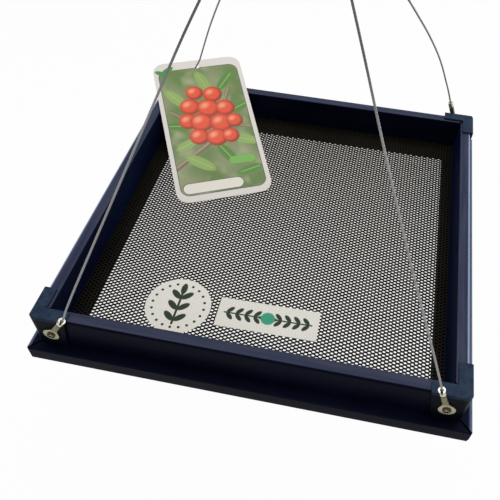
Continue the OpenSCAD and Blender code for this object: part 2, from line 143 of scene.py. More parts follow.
# %% Shared shader group: clouds and grain
grain_group, g_in, g_out = new_group("clouds_and_grain", "ShaderNodeTree", [
    ("Stretch", "INPUT", "Vector", (1, 1, 1)),
    ("Cloud Size", "INPUT", "Float", 30.0),
    ("Grain Size", "INPUT", "Float", 900.0),
    ("Clouds", "OUTPUT", "Float", None),
    ("Grain", "OUTPUT", "Float", None),
])
coords = add(grain_group, "ShaderNodeTexCoord").outputs["Object"]
stretched = vector_math(grain_group, "MULTIPLY", coords, g_in["Stretch"])
clouds = add(grain_group, "ShaderNodeTexNoise",
             {"Vector": coords, "Scale": g_in["Cloud Size"], "Detail": 4.0, "Roughness": 0.6})
grain = add(grain_group, "ShaderNodeTexNoise",
            {"Vector": stretched, "Scale": g_in["Grain Size"], "Detail": 3.0, "Roughness": 0.55})
grain_group.links.new(clouds.outputs["Fac"], g_out.inputs["Clouds"])
grain_group.links.new(grain.outputs["Fac"], g_out.inputs["Grain"])
print("clouds_and_grain has", len(grain_group.nodes), "nodes")

# %% [markdown]
# Helpers for masks and colours. A mask is a number from 0 to 1 that says how much of a finish a
# point gets. Most masks here come from a length, such as a point's height, that passes a span.

# %% Helpers for masks and colours
def ramp(tree, value, low, high, to_low, to_high):
    """Maps a number from one range to another, and stops at the ends."""
    return add(tree, "ShaderNodeMapRange", {
        "Value": value, "From Min": low, "From Max": high, "To Min": to_low, "To Max": to_high,
    }).outputs[0]


def rising(tree, length, span, top=1.0):
    """0 where a length is under the span's start, top where it is past its end, in millimetres."""
    return ramp(tree, length, span[0] * MM, span[1] * MM, 0.0, top)


def falling(tree, length, span):
    """1 where a length is under the span's start, 0 where it is past its end, in millimetres."""
    return ramp(tree, length, span[0] * MM, span[1] * MM, 1.0, 0.0)


def object_xyz(tree):
    """A point's x, y and z in the model's own frame."""
    coords = add(tree, "ShaderNodeTexCoord").outputs["Object"]
    return add(tree, "ShaderNodeSeparateXYZ", {0: coords}).outputs


def way_out(tree, x, y):
    """How far out a point lies on the square tray: the larger of |x| and |y|."""
    return math_node(tree, "MAXIMUM", math_node(tree, "ABSOLUTE", x),
                     math_node(tree, "ABSOLUTE", y))


def blend(tree, factor, first, second, mode="MIX"):
    """Mixes two colours. Each is an output, or red, green and blue."""
    made = add(tree, "ShaderNodeMix", data_type="RGBA", blend_type=mode)
    for key, value in ((0, factor), (6, first), (7, second)):
        if isinstance(value, bpy.types.NodeSocket):
            tree.links.new(value, made.inputs[key])
        else:
            made.inputs[key].default_value = value if key == 0 else (*value, 1)
    return made.outputs[2]


def recolour(tree, shader, factor, colour, mode="MIX"):
    """Lays a colour over what already feeds the shader's Base Color."""
    base = shader.inputs["Base Color"]
    tree.links.new(blend(tree, factor, base.links[0].from_socket, colour, mode), base)


# %% Helpers for finishes
def emptied_tree(owner):
    """The node tree of a material or a world, switched on and emptied."""
    owner.use_nodes = True
    owner.node_tree.nodes.clear()
    return owner.node_tree


def surface(name, metallic=0.0, sheen_level=0.5):
    """A material with an empty Principled shader: the material, its tree and the shader."""
    material = bpy.data.materials.new(name)
    tree = emptied_tree(material)
    shader = add(tree, "ShaderNodeBsdfPrincipled",
                 {"Metallic": metallic, "Specular IOR Level": sheen_level})
    add(tree, "ShaderNodeOutputMaterial", {"Surface": shader.outputs[0]})
    return material, tree, shader


def use(tree, group, **inputs):
    """Places a shader group and fills its inputs; spaces in their names are written _."""
    made = add(tree, "ShaderNodeGroup", node_tree=group)
    for name, value in inputs.items():
        socket = made.inputs[name.replace("_", " ")]
        if isinstance(value, bpy.types.NodeSocket):
            tree.links.new(value, socket)
        else:
            socket.default_value = value
    return made.outputs


def bump(tree, height, strength, distance):
    """A normal that follows a height."""
    return add(tree, "ShaderNodeBump",
               {"Height": height, "Strength": strength, "Distance": distance}).outputs[0]


def grained(name, dark, light, rough, stretch=(1, 1, 1), cloud=30.0, grain_size=900.0,
            depth=0.03, metallic=0.0, sheen_level=0.5):
    """Clouds of two colours, a grain with a depth in millimetres, and gloss that varies."""
    material, tree, shader = surface(name, metallic, sheen_level)
    pattern = use(tree, grain_group, Stretch=stretch, Cloud_Size=cloud, Grain_Size=grain_size)
    tint = math_node(tree, "ADD", math_node(tree, "MULTIPLY", pattern["Clouds"], 0.6),
                     math_node(tree, "MULTIPLY", pattern["Grain"], 0.4))
    colour = blend(tree, ramp(tree, tint, 0.35, 0.65, 0.0, 1.0), dark, light)
    tree.links.new(colour, shader.inputs["Base Color"])
    tree.links.new(ramp(tree, tint, 0.3, 0.7, rough[0], rough[1]), shader.inputs["Roughness"])
    tree.links.new(bump(tree, pattern["Grain"], 0.5, depth * MM), shader.inputs["Normal"])
    return material, tree, shader


# %% [markdown]
# The cables. Each is a thin wire rope: six strands twisted round a core. A plain tube would shine
# like a rod; the eye knows rope from the slanting rows of highlights. The strands' shared outline
# is a six-lobed ring, and a Geometry Nodes tree sweeps it along the cable while it turns, which
# costs far fewer faces than seven separate wires. The routes are those of the solid model, within
# 2 mm. The model's plain tubes are 2 mm thick, and rope looks finer, so it is 1.6 mm here. Its
# lay length is what a strand needs to go round once.

# %% The cables' routes
CABLE_D = 1.6 * MM
LAY_LENGTH = 12 * MM
RING_GAP = 1.2 * MM
ROUTES = {
    "front_left": [
        (-127.6, -154.45, 44.3), (-123.25, -154.45, 51), (-121, -153.9, 55.3),
        (-117.9, -151, 63.3), (-110.6, -142.5, 80), (-95.1, -123, 114.5),
        (-79.6, -102.5, 149), (-64.5, -81.5, 183), (-49.5, -60.5, 216.5),
        (-33, -39.5, 249.5), (-18.5, -21.5, 279), (-7, -8, 302),
        (-3, -3.2, 313.3), (-1.7, -1.7, 322), (-1.7, -1.7, 330)],
    "front_right": [
        (132, -154.45, 46.4), (129.4, -154.45, 54), (127.6, -153.8, 59.2), (124, -151, 67.5),
        (116, -141.5, 83), (99, -121.5, 115), (82, -101, 148.5), (65.5, -81, 182.5),
        (49.5, -61, 216.5), (33, -40.5, 250.5), (18.5, -22.5, 279.5), (7, -8.5, 302),
        (3.1, -3.3, 313.3), (1.7, -1.7, 322), (1.7, -1.7, 330)],
    "back_right": [
        (131, 154.45, 46), (128, 154.45, 53.5), (126.2, 153.8, 58.4), (123.1, 150.5, 67),
        (117.5, 140.5, 83), (105.5, 118, 116.5), (91, 94.5, 149), (74, 71, 181),
        (55.5, 49, 213), (36.5, 30, 246.5), (20, 15.5, 277), (7.5, 6, 301.5),
        (3.1, 2.7, 313.2), (1.7, 1.7, 322), (1.7, 1.7, 330)],
    "back_left": [
        (-128.5, 154.45, 44.8), (-124.5, 154.45, 51.75), (-121.8, 154, 56.2),
        (-117.5, 151.5, 64.3), (-110.5, 143, 81), (-96, 124, 115), (-80, 103, 149),
        (-63, 80.5, 181.5), (-46, 58.5, 213.5), (-29.5, 37, 247), (-16, 20, 277),
        (-6, 7.5, 301.5), (-2.8, 3.1, 313.2), (-1.7, 1.7, 322), (-1.7, 1.7, 330)],
}
LOOP_ROUTE = [
    (-1.7, 0, 333), (-1.7, 0, 340), (-4, 0, 346.5), (-7.5, 0, 353), (-9, 0, 360), (-7.8, 0, 366),
    (-4.5, 0, 370.5), (0, 0, 372), (4.5, 0, 370.5), (7.8, 0, 366), (9, 0, 360), (7.5, 0, 353),
    (4, 0, 346.5), (1.7, 0, 340), (1.7, 0, 333)]


def smooth_line(points, steps=4):
    """A Catmull-Rom curve through the points, in metres."""
    p = [Vector(q) * MM for q in points]
    p = [2 * p[0] - p[1], *p, 2 * p[-1] - p[-2]]
    line = []
    for a, b, c, d in zip(p, p[1:], p[2:], p[3:]):
        for k in range(steps):
            t = k / steps
            line.append(0.5 * (2 * b + (c - a) * t + (2 * a - 5 * b + 4 * c - d) * t ** 2
                               + (3 * b - a - 3 * c + d) * t ** 3))
    return [*line, p[-2]]


def length_of(line):
    """The length of a line of points."""
    return sum((b - a).length for a, b in zip(line, line[1:]))


lines = {name: smooth_line(route) for name, route in ROUTES.items()}
loop_line = smooth_line(LOOP_ROUTE)
for name, line in lines.items():
    print(name, "cable is", round(length_of(line) / MM, 1), "mm long")

# %% The tree that lays strands along a curve
rope_tree, r_in, r_out = new_group("twisted_rope", "GeometryNodeTree", [
    ("Path", "INPUT", "Geometry", None),
    ("Diameter", "INPUT", "Float", CABLE_D),
    ("Lay Length", "INPUT", "Float", LAY_LENGTH),
    ("Ring Gap", "INPUT", "Float", RING_GAP),
    ("Steel", "INPUT", "Material", None),
    ("Rope", "OUTPUT", "Geometry", None),
])
even = add(rope_tree, "GeometryNodeResampleCurve",
           {"Curve": r_in["Path"], "Length": r_in["Ring Gap"]}, mode="LENGTH")
along = add(rope_tree, "GeometryNodeSplineParameter").outputs["Length"]
turns = math_node(rope_tree, "DIVIDE", along, r_in["Lay Length"])
tilted = add(rope_tree, "GeometryNodeSetCurveTilt",
             {"Curve": even.outputs[0], "Tilt": math_node(rope_tree, "MULTIPLY", turns, math.tau)})
# The outline's radius at an angle, as a share of the rope's: each strand's own radius is a third
# of it, and its middle lies at two thirds
ring = add(rope_tree, "GeometryNodeCurvePrimitiveCircle", {"Resolution": 24, "Radius": 1.0})
place = add(rope_tree, "GeometryNodeInputPosition").outputs[0]
xyz = add(rope_tree, "ShaderNodeSeparateXYZ", {0: place}).outputs
angle = math_node(rope_tree, "ARCTAN2", xyz[1], xyz[0])
off_crest = math_node(rope_tree, "PINGPONG", angle, math.pi / 6)
middle_along = math_node(rope_tree, "MULTIPLY", math_node(rope_tree, "COSINE", off_crest), 2 / 3)
middle_off = math_node(rope_tree, "MULTIPLY", math_node(rope_tree, "SINE", off_crest), 2 / 3)
inside = math_node(rope_tree, "SUBTRACT", (1 / 3) ** 2,
                   math_node(rope_tree, "MULTIPLY", middle_off, middle_off))
reach = math_node(rope_tree, "ADD", middle_along,
                  math_node(rope_tree, "SQRT", math_node(rope_tree, "MAXIMUM", inside, 0.0)))
radius = math_node(rope_tree, "MULTIPLY", reach,
                   math_node(rope_tree, "MULTIPLY", r_in["Diameter"], 0.5))
lobed = add(rope_tree, "GeometryNodeSetPosition",
            {"Geometry": ring.outputs[0],
             "Position": add(rope_tree, "ShaderNodeVectorMath", {0: place, "Scale": radius},
                             operation="SCALE").outputs[0]})
marked = add(rope_tree, "GeometryNodeStoreNamedAttribute",
             {"Geometry": lobed.outputs[0], "Name": "crest", "Value": reach},
             data_type="FLOAT", domain="POINT")
swept = add(rope_tree, "GeometryNodeCurveToMesh",
            {"Curve": tilted.outputs[0], "Profile Curve": marked.outputs[0], "Fill Caps": True})
steel_set = add(rope_tree, "GeometryNodeSetMaterial",
                {"Geometry": swept.outputs[0], "Material": r_in["Steel"]})
rope_tree.links.new(add(rope_tree, "GeometryNodeRealizeInstances",
                        {0: steel_set.outputs[0]}).outputs[0], r_out.inputs[0])
print("twisted_rope has", len(rope_tree.nodes), "nodes")

# %% [markdown]
# Steel for the rope: grey rather than bright, and darker in the grooves between strands. The tree
# stored how far each point stands out, and the finish darkens the low ones. In the photograph the
# upper lengths look darker than those near the tray, so the steel is painted darker with height, a
# painted shade.

# %% The rope's steel
rope_steel, tree, shader = surface("stranded_steel", metallic=1.0)
pattern = use(tree, grain_group, Cloud_Size=60.0, Grain_Size=1500.0)
crest = add(tree, "ShaderNodeAttribute", attribute_name="crest").outputs["Fac"]
raised = ramp(tree, crest, 0.6, 0.95, 0.0, 1.0)
lit = blend(tree, pattern["Clouds"], (0.30, 0.30, 0.30), (0.44, 0.44, 0.44))
# Painted shade: the upper lengths of the cables are painted darker
PAINTED_SHADE_HEIGHTS = (180, 215)
up = object_xyz(tree)[2]
lit = blend(tree, rising(tree, up, PAINTED_SHADE_HEIGHTS), lit, (0.13, 0.125, 0.12))
tree.links.new(blend(tree, raised, (0.09, 0.09, 0.09), lit), shader.inputs["Base Color"])
tree.links.new(ramp(tree, pattern["Grain"], 0.3, 0.7, 0.32, 0.5), shader.inputs["Roughness"])
print(rope_steel.name, "has", len(tree.nodes), "nodes")


# %% Making a rope
def rope(name, line):
    """A twisted rope along a line of points, as a closed mesh."""
    curve = bpy.data.curves.new(name + "_path", "CURVE")
    curve.dimensions = "3D"
    spline = curve.splines.new("POLY")
    spline.points.add(len(line) - 1)
    for point, at in zip(spline.points, line):
        point.co = (*at, 1)
    source = object_of(curve, name + "_path")
    modifier = source.modifiers.new("rope", "NODES")
    modifier.node_group = rope_tree
    set_inputs(modifier, diameter=CABLE_D, lay_length=LAY_LENGTH, ring_gap=RING_GAP,
               steel=rope_steel)
    made = baked(source, name)
    for polygon in made.data.polygons:
        polygon.use_smooth = True
    return made


# %% Four cables and the hanging loop
for name, line in lines.items():
    cable = rope("wire_rope_" + name, line)
    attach(cable, "root")
    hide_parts("cable_" + name)

loop = rope("wire_rope_loop", loop_line)
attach(loop, "root")
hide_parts("hanging_loop")
print("the loop's rope is", round(length_of(loop_line) / MM, 1), "mm long")

# %% [markdown]
# The floor's perforations. The sheet has about ten thousand holes, 2.2 mm across and 3 mm apart,
# in staggered rows. Cutting each with a Boolean would take hours. Instead one flat cell, the web
# between a hole and its neighbours, is placed on a staggered grid and welded, and the web is
# raised to the sheet's thickness. Six-sided holes are enough at this size; in the photograph they
# look a little wider than deep, and so they are here. Two halves keep each piece small.

# %% One cell of web
HOLE_PITCH = 3.04 * MM
HOLE_RX, HOLE_RY = 1.22 * MM, 0.985 * MM
SHEET_T = 1.0 * MM
SHEET_Z = 15.2 * MM
WELD = 0.02 * MM
# A hexagon's corners lie a tenth farther out than the circle of the same area
CORNERS_OUT = math.sqrt(math.pi / (1.5 * math.sqrt(3)))


def hole_corner(centre, degrees):
    """A corner of the hole round a centre."""
    a = math.radians(degrees)
    return centre + Vector((math.cos(a) * HOLE_RX, math.sin(a) * HOLE_RY, 0)) * CORNERS_OUT


def neighbour(degrees):
    """The centre of the next hole that way."""
    a = math.radians(degrees)
    return Vector((math.cos(a), math.sin(a), 0)) * HOLE_PITCH


here = Vector((0, 0, 0))
cell = bmesh.new()
for a in (-30, 30, 90):
    there = neighbour(a)
    quad = [hole_corner(here, a - 30), hole_corner(there, a + 210),
            hole_corner(there, a + 150), hole_corner(here, a + 30)]
    cell.faces.new([cell.verts.new(v) for v in quad])
for a in (0, 60):
    low, high = neighbour(a - 30), neighbour(a + 30)
    web = [hole_corner(here, a), hole_corner(low, a + 120), hole_corner(high, a + 240)]
    cell.faces.new([cell.verts.new(v) for v in web])
cell_mesh = bpy.data.meshes.new("web_cell")
cell.to_mesh(cell_mesh)
cell.free()
cell_object = object_of(cell_mesh, "web_cell")
print("one cell has", len(cell_mesh.polygons), "faces")

# %% The tree that perforates
screen_tree, s_in, s_out = new_group("perforated_sheet", "GeometryNodeTree", [
    ("Start", "INPUT", "Geometry", None),
    ("Cell", "INPUT", "Object", None),
    ("Columns", "INPUT", "Int", 10),
    ("Rows", "INPUT", "Int", 10),
    ("First Column", "INPUT", "Int", 0),
    ("Pitch", "INPUT", "Float", HOLE_PITCH),
    ("Thickness", "INPUT", "Float", SHEET_T),
    ("Underside", "INPUT", "Float", SHEET_Z),
    ("Paint", "INPUT", "Material", None),
    ("Sheet", "OUTPUT", "Geometry", None),
])
gap = math_node(screen_tree, "MULTIPLY", s_in["Pitch"], math.sqrt(3) / 2)
columns_less = math_node(screen_tree, "SUBTRACT", s_in["Columns"], 1.0)
rows_less = math_node(screen_tree, "SUBTRACT", s_in["Rows"], 1.0)
grid = add(screen_tree, "GeometryNodeMeshGrid", {
    "Size X": math_node(screen_tree, "MULTIPLY", columns_less, gap),
    "Size Y": math_node(screen_tree, "MULTIPLY", rows_less, s_in["Pitch"]),
    "Vertices X": s_in["Columns"], "Vertices Y": s_in["Rows"]})
at = add(screen_tree, "ShaderNodeSeparateXYZ",
         {0: add(screen_tree, "GeometryNodeInputPosition").outputs[0]}).outputs
from_first = math_node(screen_tree, "ADD", math_node(screen_tree, "DIVIDE", at[0], gap),
                       math_node(screen_tree, "MULTIPLY", columns_less, 0.5))
column = math_node(screen_tree, "ADD", math_node(screen_tree, "ROUND", from_first),
                   s_in["First Column"])
odd = math_node(screen_tree, "FLOORED_MODULO", column, 2.0)
half_pitch = math_node(screen_tree, "MULTIPLY", s_in["Pitch"], 0.5)
shifted = math_node(screen_tree, "MULTIPLY", math_node(screen_tree, "SUBTRACT", odd, 0.5),
                    half_pitch)
staggered = math_node(screen_tree, "ADD", at[1], shifted)
laid = add(screen_tree, "GeometryNodeSetPosition", {
    "Geometry": grid.outputs[0],
    "Position": add(screen_tree, "ShaderNodeCombineXYZ", {
        0: math_node(screen_tree, "MULTIPLY", column, gap),
        1: staggered, 2: s_in["Underside"]}).outputs[0]})
cell_in = add(screen_tree, "GeometryNodeObjectInfo", {"Object": s_in["Cell"]})
cells = add(screen_tree, "GeometryNodeInstanceOnPoints",
            {"Points": laid.outputs[0], "Instance": cell_in.outputs["Geometry"]})
web = add(screen_tree, "GeometryNodeMergeByDistance", {
    "Geometry": add(screen_tree, "GeometryNodeRealizeInstances", {0: cells.outputs[0]}).outputs[0],
    "Distance": WELD})
raised_web = add(screen_tree, "GeometryNodeExtrudeMesh", {
    "Mesh": web.outputs[0],
    "Offset": add(screen_tree, "ShaderNodeCombineXYZ", {2: 1.0}).outputs[0],
    "Offset Scale": s_in["Thickness"], "Individual": False}, mode="FACES")
walls_marked = add(screen_tree, "GeometryNodeStoreNamedAttribute",
                   {"Geometry": raised_web.outputs[0], "Name": "punched_wall",
                    "Value": raised_web.outputs["Side"]}, data_type="FLOAT", domain="FACE")
both = add(screen_tree, "GeometryNodeJoinGeometry")
for part in (walls_marked.outputs[0],
             add(screen_tree, "GeometryNodeFlipFaces", {0: web.outputs[0]}).outputs[0]):
    screen_tree.links.new(part, both.inputs[0])
welded = add(screen_tree, "GeometryNodeMergeByDistance",
             {"Geometry": both.outputs[0], "Distance": WELD})
painted = add(screen_tree, "GeometryNodeSetMaterial",
              {"Geometry": welded.outputs[0], "Material": s_in["Paint"]})
screen_tree.links.new(add(screen_tree, "GeometryNodeRealizeInstances",
                          {0: painted.outputs[0]}).outputs[0], s_out.inputs[0])
print("perforated_sheet has", len(screen_tree.nodes), "nodes")

# %% [markdown]
# The sheet is steel with a brown-black coat. Coats like this are matte with a slight orange-peel
# skin. The punched walls of the holes are painted a warm tone, a painted light that gives the
# whole mesh a cream cast. The tree marked those faces, and the finish reads the mark. Little light
# comes through near the rails' ledges and over them, so there the painted light fades out and the
# walls stay dark.

# %% The coated sheet
sheet_coat, tree, shader = grained(
    "brown_black_coat", (0.006, 0.0052, 0.0036), (0.012, 0.0105, 0.0075), (0.36, 0.5),
    cloud=25.0, grain_size=1400.0, depth=0.04, sheen_level=0.03)
LIGHT_FADES = (108, 118)
on_wall = add(tree, "ShaderNodeAttribute", attribute_name="punched_wall").outputs["Fac"]
x, y, z = object_xyz(tree)
# Painted light: a warm tone on the holes' walls, which fades out near the ledges
painted_wall_light = math_node(tree, "MULTIPLY", on_wall, falling(tree, way_out(tree, x, y), LIGHT_FADES))
recolour(tree, shader, painted_wall_light, (0.12, 0.092, 0.03))
print(sheet_coat.name, "has", len(tree.nodes), "nodes")

# %% The two halves of the floor
HALF_COLUMNS = 54
ROWS = 93


def perforated(name, first, columns):
    """One half of the floor, from its first column on."""
    source = object_of(bpy.data.meshes.new(name + "_start"), name + "_start")
    modifier = source.modifiers.new("holes", "NODES")
    modifier.node_group = screen_tree
    set_inputs(modifier, cell=cell_object, columns=columns, rows=ROWS, first_column=first,
               pitch=HOLE_PITCH, thickness=SHEET_T, underside=SHEET_Z, paint=sheet_coat)
    half = baked(source, name)
    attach(half, "root")
    return half


left_half = perforated("perforated_floor_left", -HALF_COLUMNS, HALF_COLUMNS)
right_half = perforated("perforated_floor_right", 0, HALF_COLUMNS)
bpy.data.objects.remove(cell_object, do_unlink=True)
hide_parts("floor_screen")
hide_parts("floor_screen")
print("the floor has", 2 * HALF_COLUMNS * ROWS, "holes")

# %% [markdown]
# The rails. Their plastic is recycled, dyed a very dark navy, and pressed through a die, so it has
# faint lines along its length and a satin sheen. Their tops are painted a paler slate with streaks
# along the length, a painted light for the light from above, and the outer edges of the side rails
# are painted a light blue, a painted highlight. Masks of a point's height and of how far out it
# lies place both. The ledge, which the sheet covers, is painted nearly black, a painted shadow.
# The rails' solids keep their own meshes. Each span below, in millimetres, says where a mask
# starts and where it is full.

# %% Shader group for wear and painted light that follow the tray's form
TOP_UP = (41.6, 41.9)
EDGE_OUT, EDGE_UP = (147.9, 148.7), (39.6, 40.4)
RIM_OUT, RIM_UP = (156.5, 158.5), (11.4, 12.0)
COVERED_OUT, COVERED_UP = 138.9 * MM, 15.3 * MM

wear_and_light_group, w_in, w_out = new_group("tray_wear", "ShaderNodeTree", [
    ("Plastic", "INPUT", "Color", None),
    ("Roughness", "INPUT", "Float", 0.4),
    ("Worn Top", "INPUT", "Color", (0.044, 0.050, 0.088, 1)),
    ("Stretch", "INPUT", "Vector", (1, 1, 1)),
    ("Edge Rub", "INPUT", "Float", 0.0),
    ("Colour", "OUTPUT", "Color", None),
    ("Roughness", "OUTPUT", "Float", None),
])
x, y, z = object_xyz(wear_and_light_group)
out = way_out(wear_and_light_group, x, y)
streaks = use(wear_and_light_group, grain_group, Stretch=w_in["Stretch"], Grain_Size=260.0)["Grain"]
# Painted light: the tops are painted a paler slate, with streaks along the length
painted_top = blend(wear_and_light_group, ramp(wear_and_light_group, streaks, 0.38, 0.62, 0.75, 0.0), w_in["Worn Top"],
             (0.50, 0.56, 0.68), "MULTIPLY")
colour = blend(wear_and_light_group, rising(wear_and_light_group, z, TOP_UP), w_in["Plastic"], painted_top)
# Painted highlight on the outer rounding of the wall, and on the rim of the base flange
top_edge = math_node(wear_and_light_group, "MULTIPLY", rising(wear_and_light_group, out, EDGE_OUT),
                     rising(wear_and_light_group, z, EDGE_UP))
rim = math_node(wear_and_light_group, "MULTIPLY", rising(wear_and_light_group, out, RIM_OUT, top=0.6),
                rising(wear_and_light_group, z, RIM_UP))
painted_edge_highlight = math_node(wear_and_light_group, "MULTIPLY", w_in["Edge Rub"],
                   math_node(wear_and_light_group, "MAXIMUM", top_edge, rim))
colour = blend(wear_and_light_group, painted_edge_highlight, colour, (0.30, 0.37, 0.54))
# Painted shadow on the ledge under the sheet
painted_ledge_shadow = math_node(wear_and_light_group, "MULTIPLY", math_node(wear_and_light_group, "LESS_THAN", out, COVERED_OUT),
                  math_node(wear_and_light_group, "LESS_THAN", z, COVERED_UP))
wear_and_light_group.links.new(blend(wear_and_light_group, painted_ledge_shadow, colour, (0.0005, 0.0005, 0.001)),
                     w_out.inputs["Colour"])
wear_and_light_group.links.new(math_node(wear_and_light_group, "MAXIMUM", w_in["Roughness"], painted_ledge_shadow),
                     w_out.inputs["Roughness"])
print("tray_wear has", len(wear_and_light_group.nodes), "nodes")


# %% Navy plastic
def navy_plastic(name, stretch, dark, light, top_light_colour, edge_rub=0.0):
    """Dyed plastic with lines along one way, a top painted paler as painted light, and outer edges
    with a painted highlight.
    """
    material, tree, shader = grained(name, dark, light, (0.34, 0.46), stretch=stretch, cloud=18.0,
                                     grain_size=700.0, sheen_level=0.02)
    fresh = {n: shader.inputs[n].links[0].from_socket for n in ("Base Color", "Roughness")}
    wear_and_light = use(tree, wear_and_light_group, Plastic=fresh["Base Color"], Roughness=fresh["Roughness"],
               Worn_Top=(*top_light_colour, 1), Stretch=stretch, Edge_Rub=edge_rub)
    tree.links.new(wear_and_light["Colour"], shader.inputs["Base Color"])
    tree.links.new(wear_and_light["Roughness"], shader.inputs["Roughness"])
    return material


TOP_LIGHT_SLATE = (0.052, 0.058, 0.098)
# Painted shade: the front and back rails are the same plastic as the side rails, given darker,
# greyer colours
along_x = navy_plastic("navy_rail_across", (0.05, 1, 1), (0.0018, 0.0026, 0.009),
                       (0.0042, 0.0058, 0.019), TOP_LIGHT_SLATE)
along_y = navy_plastic("navy_rail_deep", (1, 0.05, 1), (0.0022, 0.0045, 0.018),
                       (0.0045, 0.0090, 0.036), TOP_LIGHT_SLATE, edge_rub=1.0)
cap_plastic = navy_plastic("navy_cap", (1, 1, 1), (0.0012, 0.0020, 0.005),
                           (0.0035, 0.0055, 0.012), (0.031, 0.050, 0.082))
print("navy finishes:", [m.name for m in (along_x, along_y, cap_plastic)])


# %% Dressing the rails, caps and keys
def dress(names, material):
    """Gives solids of the model a finish in place of their plain one."""
    for name in names:
        mesh = nodes[name].data
        mesh.materials.clear()
        mesh.materials.append(material)


corners = [f"{y}_{x}" for y in ("front", "back") for x in ("left", "right")]
dress(["rail_front", "rail_back"], along_x)
dress(["rail_left", "rail_right"], along_y)
dress(["corner_cap_" + c for c in corners], cap_plastic)
dress(["corner_key_" + c for c in corners],
      grained("black_nylon", (0.02, 0.02, 0.022), (0.035, 0.035, 0.04), (0.5, 0.7))[0])
print("dressed", 4 + 2 * len(corners), "plastic pieces")

# %% [markdown]
# Terminals are zinc plated, with the yellow cast of the plating's seal. Their rings are a little
# darker, and their necks are painted much darker, a painted shade, while the crimped collars at
# the top keep the plating's full colour. The screws are browned steel with a painted highlight in
# the middle. Both follow the distance from the screw's axis, so a small group measures it. The
# sleeve is dull aluminium with marks of the crimping tool. On bright metal the clouds drive the
# gloss more than the tint.

# %% Shader group for the distance from a screw's axis
RING_X, RING_Z = 138.5 * MM, 27.5 * MM
axis_group, a_in, a_out = new_group("from_screw_axis", "ShaderNodeTree", [
    ("Axis", "INPUT", "Vector", (RING_X, 0, RING_Z)),
    ("Distance", "OUTPUT", "Float", None),
])
coords = add(axis_group, "ShaderNodeTexCoord").outputs["Object"]
off_axis = vector_math(axis_group, "SUBTRACT", vector_math(axis_group, "ABSOLUTE", coords),
                       a_in["Axis"])
flat = vector_math(axis_group, "MULTIPLY", off_axis, (1, 0, 1))
axis_group.links.new(vector_math(axis_group, "LENGTH", flat, out=1), a_out.inputs["Distance"])
print("from_screw_axis has", len(axis_group.nodes), "nodes")

# %% Metals
NECK_FROM, COLLAR_FROM, PAINTED_HIGHLIGHT_RADII = (5.4, 7.0), (22.2, 23.2), (0.7, 1.5)
zinc, tree, shader = grained("zinc_plate", (0.44, 0.42, 0.33), (0.72, 0.70, 0.59), (0.22, 0.42),
                             cloud=220.0, grain_size=2500.0, depth=0.02, metallic=1.0)
off = use(tree, axis_group)["Distance"]
# Painted shade: the necks are painted much darker, and the rings a little darker
dimmed_ring_shaded_neck = blend(tree, rising(tree, off, NECK_FROM), (0.68, 0.66, 0.55), (0.29, 0.25, 0.18))
dimmed_ring_shaded_neck = blend(tree, rising(tree, off, COLLAR_FROM), dimmed_ring_shaded_neck, (1, 1, 1))
recolour(tree, shader, 1.0, dimmed_ring_shaded_neck, "MULTIPLY")
dress(["terminal_" + c for c in corners], zinc)

browned, tree, shader = grained("browned_steel", (0.03, 0.02, 0.012), (0.12, 0.09, 0.06),
                                (0.3, 0.5), cloud=420.0, grain_size=2500.0, depth=0.02,
                                metallic=1.0)
off = use(tree, axis_group)["Distance"]
# Painted highlight: the middle of each screw head is painted pale
recolour(tree, shader, falling(tree, off, PAINTED_HIGHLIGHT_RADII), (0.80, 0.74, 0.62))
dress(["screw_" + c for c in corners], browned)
dress(["gather_sleeve"],
      grained("dull_aluminium", (0.45, 0.46, 0.47), (0.66, 0.67, 0.68), (0.35, 0.55),
              stretch=(1, 1, 0.1), cloud=150.0, grain_size=1500.0, depth=0.02,
              metallic=1.0)[0])
print("dressed", 2 * len(corners) + 1, "metal pieces")

# %% [markdown]
# Print on paper and card is flat colour inside shapes. Each shape here is a mask: a number that is
# 1 inside and 0 outside, found from a point's place on the card in millimetres. Two groups are
# enough, a disc that can be squeezed and turned into a leaf or berry, and a bar with round ends.

# %% Shader group for a printed disc
def softened(tree, distance, softness):
    """1 where the distance is below zero, 0 where it is above, with a soft edge."""
    return ramp(tree, distance, math_node(tree, "MULTIPLY", softness, -1.0), softness, 1.0, 0.0)


disc_group, d_in, d_out = new_group("printed_disc", "ShaderNodeTree", [
    ("Point", "INPUT", "Vector", None),
    ("Centre", "INPUT", "Vector", (0, 0, 0)),
    ("Radii", "INPUT", "Vector", (1, 1, 1)),
    ("Turn", "INPUT", "Vector", (0, 0, 0)),
    ("Softness", "INPUT", "Float", 0.15),
    ("Mask", "OUTPUT", "Float", None),
])
local = add(disc_group, "ShaderNodeMapping", {
    "Vector": d_in["Point"], "Location": d_in["Centre"], "Rotation": d_in["Turn"],
    "Scale": d_in["Radii"]}, vector_type="TEXTURE").outputs[0]
flat = vector_math(disc_group, "MULTIPLY", local, (1, 1, 0))
from_rim = math_node(disc_group, "SUBTRACT", vector_math(disc_group, "LENGTH", flat, out=1), 1.0)
disc_group.links.new(softened(disc_group, from_rim, d_in["Softness"]), d_out.inputs["Mask"])
print("printed_disc has", len(disc_group.nodes), "nodes")

